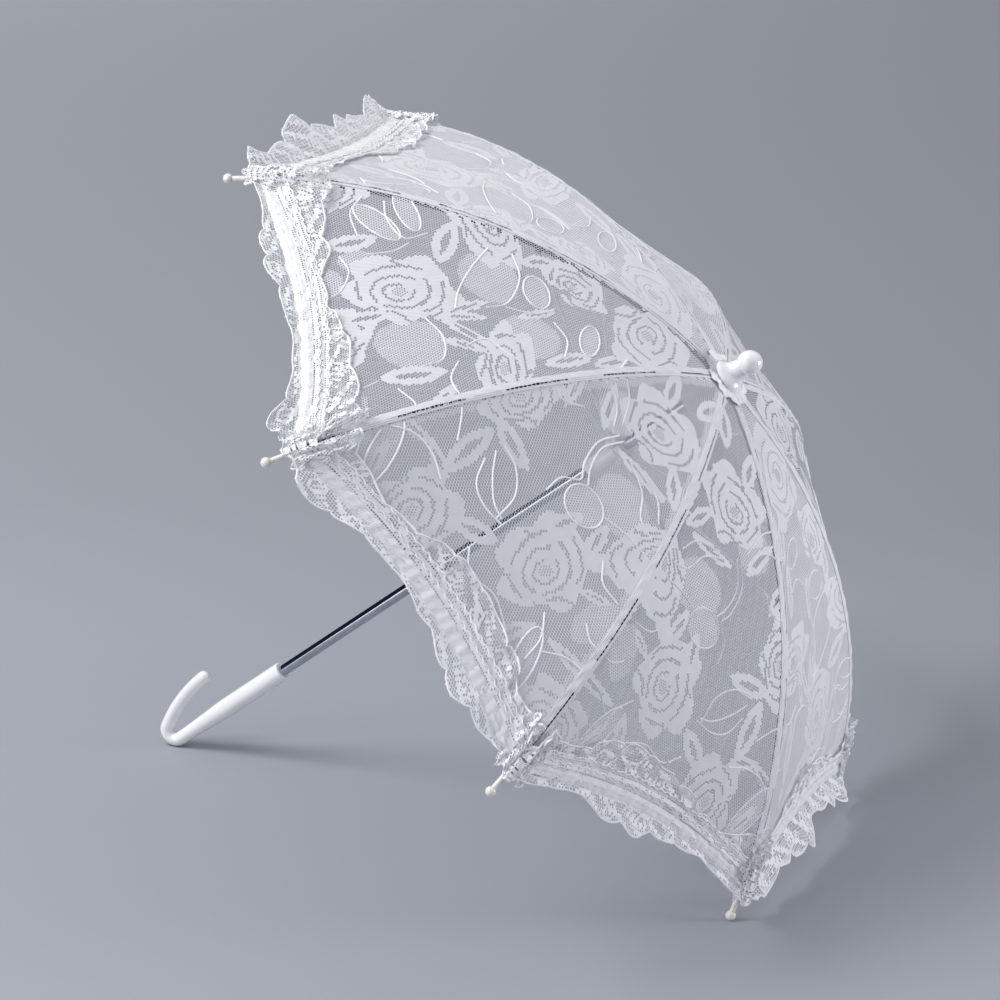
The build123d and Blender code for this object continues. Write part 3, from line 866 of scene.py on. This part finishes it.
def make_trim(gore, half, body):
    """One half of the gathered trim along a gore's hem."""
    box = (-TRIM_REACH, TRIM_REACH, TRIM_HIGHEST, TRIM_LOWEST)
    column, line = hexagon_cells(*box, TRIM_PITCH, TRIM_ROW)
    along, down = column * TRIM_PITCH / 2, line * TRIM_ROW
    inner, outer = trim_edges(gore, along)
    keep = (down > inner) & (down < outer) & (np.abs(along) < TRIM_REACH) & on_half(along, half)
    column, line = column[keep], line[keep]
    kind = trim_kinds(gore, along[keep], down[keep])
    flat, faces = hexagon_mesh(column, line, kind, TRIM_PITCH, TRIM_ROW)
    points = on_trim(gore, np.clip(flat[:, 0], -TRIM_REACH, TRIM_REACH), flat[:, 1], 0.0)
    piece = mesh_object(half_name("trim", gore, half), points, faces, trim_thread, body, flat)
    thicken(piece, CLOTH_THICKNESS)
    return piece, np.stack([column * TRIM_PITCH / 2, line * TRIM_ROW], axis=-1)


def make_trim_cords(gore, half, body):
    """The thick edge threads and gathering stitches of one half of the trim."""
    along = along_half(TRIM_REACH, half, 200)
    lines = [np.stack([along, edge], axis=-1) for edge in trim_edges(gore, along)]
    for stitch in TRIM_STITCHES:
        lines.append(np.stack([along, stitch + 0.5 * np.sin(along * 0.8 + stitch)], axis=-1))
    flat, raised, faces = cord_mesh(lines, CORD_WIDTH, CORD_HEIGHT)
    points = on_trim(gore, flat[:, 0], flat[:, 1], raised + CORD_LIFT)
    return mesh_object(half_name("trim_cords", gore, half), points, faces, cord_thread, body, flat)


def make_hem_tape(gore, half, body):
    """The satin tape folded round one half of a gore's hem."""
    along = along_half(HEM_CORNER, half, HEM_TAPE_STEPS)
    rows, flat = [], []
    for share, lift in HEM_TAPE_ROWS:
        down = share * HEM_TAPE
        pucker = HEM_TAPE_PUCKER * (np.sin(along * 0.9 + gore + share) + np.sin(along * 0.37 - share))
        y = hem_at(along) + down
        x = along / HEM_CORNER * half_width(y) * 0.998
        rows.append(on_gore(gore, x, y, lift + pucker))
        flat.append(np.stack([along, np.full(len(along), down)], axis=-1))
    faces = []
    for row in range(len(HEM_TAPE_ROWS) - 1):
        faces.extend(strip_faces(row * HEM_TAPE_STEPS, (row + 1) * HEM_TAPE_STEPS, HEM_TAPE_STEPS))
    name = half_name("hem_tape", gore, half)
    return mesh_object(name, np.concatenate(rows), faces, trim_thread, body, np.concatenate(flat))


def make_bunch(rib):
    """The trim gathered over the end of a rib, where two gores meet."""
    column, line = hexagon_cells(-BUNCH_HALF, BUNCH_HALF, -BUNCH_UP, BUNCH_DOWN, TRIM_PITCH, TRIM_ROW)
    across, down = column * TRIM_PITCH / 2, line * TRIM_ROW
    top, bottom = bunch_edges(rib, across)
    sides = BUNCH_HALF * (0.8 + 0.2 * np.sin(0.45 * down + rib))
    keep = (np.abs(across) < sides) & (down > top) & (down < bottom)
    kind = trim_kinds(rib, across[keep], down[keep] - TRIM_IN / 2)
    flat, faces = hexagon_mesh(column[keep], line[keep], kind, TRIM_PITCH, TRIM_ROW)
    body = f"rib_arm_{rib}"
    points = on_bunch(rib, flat[:, 0], flat[:, 1], 0.0)
    piece = mesh_object(f"bunch_{rib}", points, faces, trim_thread, body, flat)
    thicken(piece, CLOTH_THICKNESS)
    run = np.linspace(-0.85 * BUNCH_HALF, 0.85 * BUNCH_HALF, 60)
    lines = [np.stack([run, edge], axis=-1) for edge in bunch_edges(rib, run)]
    flat, raised, faces = cord_mesh(lines, CORD_WIDTH, CORD_HEIGHT)
    points = on_bunch(rib, flat[:, 0], flat[:, 1], raised + CORD_LIFT)
    return piece, mesh_object(f"bunch_cords_{rib}", points, faces, cord_thread, body, flat)


def bunch_edges(rib, across):
    """How far a bunch reaches up the rib and past the hem."""
    top = -BUNCH_UP * (0.72 + 0.28 * np.cos(0.33 * across + 1.3 * rib))
    bottom = BUNCH_DOWN * (0.6 + 0.4 * np.cos(0.5 * across + 0.9 * rib))
    return top, bottom


def on_bunch(rib, across, down, raised):
    """Points of the frame for points of the bunch over a rib's end."""
    before, after = rib - 1 or RIB_COUNT, rib
    gore = np.where(across < 0.0, before, after)
    y = float(hem_at(HEM_CORNER)) + down
    x = (half_width(y) - np.abs(across) * BUNCH_GATHER) * np.where(across < 0.0, 1.0, -1.0)
    folds = np.sin(0.85 * across + 0.12 * down + rib) + 0.5 * np.sin(1.9 * across - 0.2 * down + 2.0 * rib)
    lift = BUNCH_LIFT + raised + folds * (0.5 + 0.05 * np.abs(down))
    return on_gore(gore, x, y, lift)


# ------------------------------------------------------------------ the rosette under the knob
def make_rosette():
    """A small gathered round of lace over the hole at the top."""
    turns = np.arange(ROSETTE_STEPS) * math.tau / ROSETTE_STEPS
    folds = np.sin(18 * turns) + 0.5 * np.sin(7 * turns + 1.0)
    points, flat = [], []
    for share in np.linspace(0.0, 1.0, ROSETTE_RINGS):
        radius = ROSETTE_INNER + share * (ROSETTE_OUTER - ROSETTE_INNER)
        dome = ARC_CENTRE + math.sqrt((ARC_RADIUS + ROSETTE_LIFT) ** 2 - radius**2)
        edge = radius + share * ROSETTE_EDGE * np.sin(9 * turns)
        points.append(to_row(edge, turns, np.zeros(ROSETTE_STEPS), dome + ROSETTE_FOLD * share * folds))
        flat.append(np.stack([radius * np.cos(turns), radius * np.sin(turns)], axis=-1))
    faces = []
    for ring in range(ROSETTE_RINGS - 1):
        inner, outer = ring * ROSETTE_STEPS, (ring + 1) * ROSETTE_STEPS
        for i in range(ROSETTE_STEPS):
            after = (i + 1) % ROSETTE_STEPS
            faces.append([inner + i, inner + after, outer + after, outer + i])
    piece = mesh_object("rosette", np.concatenate(points), faces, trim_thread, "root", np.concatenate(flat))
    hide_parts("top_rosette")


# ------------------------------------------------------------------ the canopy
def fold_with(piece):
    """Gives a piece its own copy of its mesh."""
    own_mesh(piece)


def make_half(gore, half, rib):
    """One half of a gore with its cords, trim and hem tape, in place of the CAD gore and its ruffle."""
    body = f"rib_arm_{rib}"
    net, net_cells = make_half_gore(gore, half, body)
    cords = make_cords(gore, half, body)
    trim, trim_cells = make_trim(gore, half, body)
    trim_cords = make_trim_cords(gore, half, body)
    tape = make_hem_tape(gore, half, body)
    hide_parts(f"canopy_gore_{gore}")
    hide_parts(f"hem_ruffle_{gore}")
    for piece in (net, cords, trim, trim_cords, tape):
        fold_with(piece)


def make_canopy():
    """Eight gores of lace in halves, with a seam and a bunch of trim over each rib."""
    seams = {rib: make_seam(rib) for rib in range(1, RIB_COUNT + 1)}
    bunches = {rib: make_bunch(rib) for rib in range(1, RIB_COUNT + 1)}
    for gore in range(1, RIB_COUNT + 1):
        make_half(gore, -1, gore)
        make_half(gore, 1, gore % RIB_COUNT + 1)
    for rib, pieces in bunches.items():
        for piece in pieces:
            fold_with(piece)
    make_rosette()


# ------------------------------------------------------------------ floor, light and camera
CAMERA_OFFSET = Vector((0.6149, -1.7430, 0.5750))
CAMERA_HEADING = math.radians(110.24)
CAMERA_PITCH = math.radians(-17.33)
CAMERA_ROLL = math.radians(1.96)
CAMERA_LENS = 116.4
FLOOR_REACH = 14.0
FLOOR_DARK = (0.355, 0.375, 0.420)
FLOOR_PALE = (0.740, 0.765, 0.820)
LIGHTS = {
    "key": ((-1.3, -0.9, 1.7), 1.1, 40.0, 180.0, (1.0, 0.99, 0.98)),
    "fill": ((-1.1, -2.1, 0.5), 1.5, 15.5, 180.0, (0.98, 0.96, 1.0)),
    "edge": ((1.5, 0.5, 0.12), 0.5, 1.35, 50.0, (1.0, 0.99, 1.0)),
}
STUDIO_STRENGTH = 0.71
STUDIO_TONES = (
    (0.0, (0.30, 0.32, 0.37)),
    (0.12, (0.24, 0.26, 0.30)),
    (0.2, (0.012, 0.018, 0.040)),
    (0.42, (0.018, 0.025, 0.050)),
    (0.76, (0.95, 0.97, 1.0)),
)


def make_camera():
    """The camera stands off the middle of the tips, low and a little behind the canopy."""
    data = bpy.data.cameras.new("camera")
    data.lens = CAMERA_LENS
    camera = bpy.data.objects.new("camera", data)
    bpy.context.scene.collection.objects.link(camera)
    level = math.cos(CAMERA_PITCH)
    ahead = Vector((level * math.cos(CAMERA_HEADING), level * math.sin(CAMERA_HEADING), math.sin(CAMERA_PITCH)))
    right = ahead.cross(Vector((0.0, 0.0, 1.0))).normalized()
    above = right.cross(ahead)
    rolled_right = math.cos(CAMERA_ROLL) * right + math.sin(CAMERA_ROLL) * above
    rolled_above = -math.sin(CAMERA_ROLL) * right + math.cos(CAMERA_ROLL) * above
    axes = Matrix((rolled_right, rolled_above, -ahead)).transposed()
    camera.matrix_world = Matrix.Translation(tips_centre + CAMERA_OFFSET) @ axes.to_4x4()
    bpy.context.scene.camera = camera


def make_light(name, offset, size, power, spread, colour):
    """A soft square light aimed at the middle of the canopy, fanning out by spread degrees."""
    data = bpy.data.lights.new(name, "AREA")
    data.size = size
    data.energy = power
    data.spread = math.radians(spread)
    data.color = colour
    light = bpy.data.objects.new(name, data)
    bpy.context.scene.collection.objects.link(light)
    light.location = tips_centre + Vector(offset)
    light.rotation_euler = (-Vector(offset)).to_track_quat("-Z", "Y").to_euler()


def make_studio():
    """Soft light from all round: grey at the horizon, dark above it and bright overhead."""
    world = bpy.data.worlds.new("studio")
    world.use_nodes = True
    tree = world.node_tree
    place = tree.nodes.new("ShaderNodeTexCoord")
    split = tree.nodes.new("ShaderNodeSeparateXYZ")
    ramp = tree.nodes.new("ShaderNodeValToRGB")
    while len(ramp.color_ramp.elements) < len(STUDIO_TONES):
        ramp.color_ramp.elements.new(1.0)
    for stop, (position, colour) in zip(ramp.color_ramp.elements, STUDIO_TONES):
        stop.position = position
        stop.color = (*colour, 1.0)
    background = tree.nodes["Background"]
    background.inputs["Strength"].default_value = STUDIO_STRENGTH
    tree.links.new(place.outputs["Generated"], split.inputs["Vector"])
    tree.links.new(split.outputs["Z"], ramp.inputs["Fac"])
    tree.links.new(ramp.outputs["Color"], background.inputs["Color"])
    bpy.context.scene.world = world


def floor_painted_light():
    """Grey paper with painted light: paler the farther off and the more to the left it lies, standing for the
    key light from the left.
    """
    material, principled = shader("floor_painted_light", FLOOR_DARK, 0.7)
    principled.inputs["Specular IOR Level"].default_value = 0.2
    tree = material.node_tree
    place = tree.nodes.new("ShaderNodeTexCoord")
    turn = tree.nodes.new("ShaderNodeMapping")
    turn.inputs["Rotation"].default_value = (0.0, 0.0, math.pi / 2 - CAMERA_HEADING)
    split = tree.nodes.new("ShaderNodeSeparateXYZ")
    depth = add_node(material, "ShaderNodeMapRange", From_Min=0.6, From_Max=3.4)
    left = add_node(material, "ShaderNodeMapRange", From_Min=0.9, From_Max=-0.9, To_Min=0.35)
    # painted light: the floor's colour runs from dark near by and on the right to pale far off on the left
    painted_light_share = tree.nodes.new("ShaderNodeMath")
    painted_light_share.operation = "MULTIPLY"
    ramp = tree.nodes.new("ShaderNodeValToRGB")
    ramp.color_ramp.elements[0].color = (*FLOOR_DARK, 1.0)
    ramp.color_ramp.elements[1].color = (*FLOOR_PALE, 1.0)
    tree.links.new(place.outputs["Object"], turn.inputs["Vector"])
    tree.links.new(turn.outputs["Vector"], split.inputs["Vector"])
    tree.links.new(split.outputs["X"], left.inputs["Value"])
    tree.links.new(split.outputs["Y"], depth.inputs["Value"])
    tree.links.new(left.outputs["Result"], painted_light_share.inputs[0])
    tree.links.new(depth.outputs["Result"], painted_light_share.inputs[1])
    tree.links.new(painted_light_share.outputs["Value"], ramp.inputs["Fac"])
    tree.links.new(ramp.outputs["Color"], principled.inputs["Base Color"])
    return material


def make_stage():
    """A pale seamless floor with painted light on it, and a soft studio."""
    mesh = bpy.data.meshes.new("floor")
    corners = [(x * FLOOR_REACH, y * FLOOR_REACH, 0.0) for x, y in ((-1, -1), (1, -1), (1, 1), (-1, 1))]
    mesh.from_pydata(corners, [], [(0, 1, 2, 3)])
    mesh.materials.append(floor_painted_light())
    floor = bpy.data.objects.new("floor", mesh)
    bpy.context.scene.collection.objects.link(floor)
    make_studio()
    for name, settings in LIGHTS.items():
        make_light(name, *settings)


bpy.context.scene.view_settings.view_transform = "Standard"
make_camera()
make_stage()
finish_cad_nodes()
make_canopy()
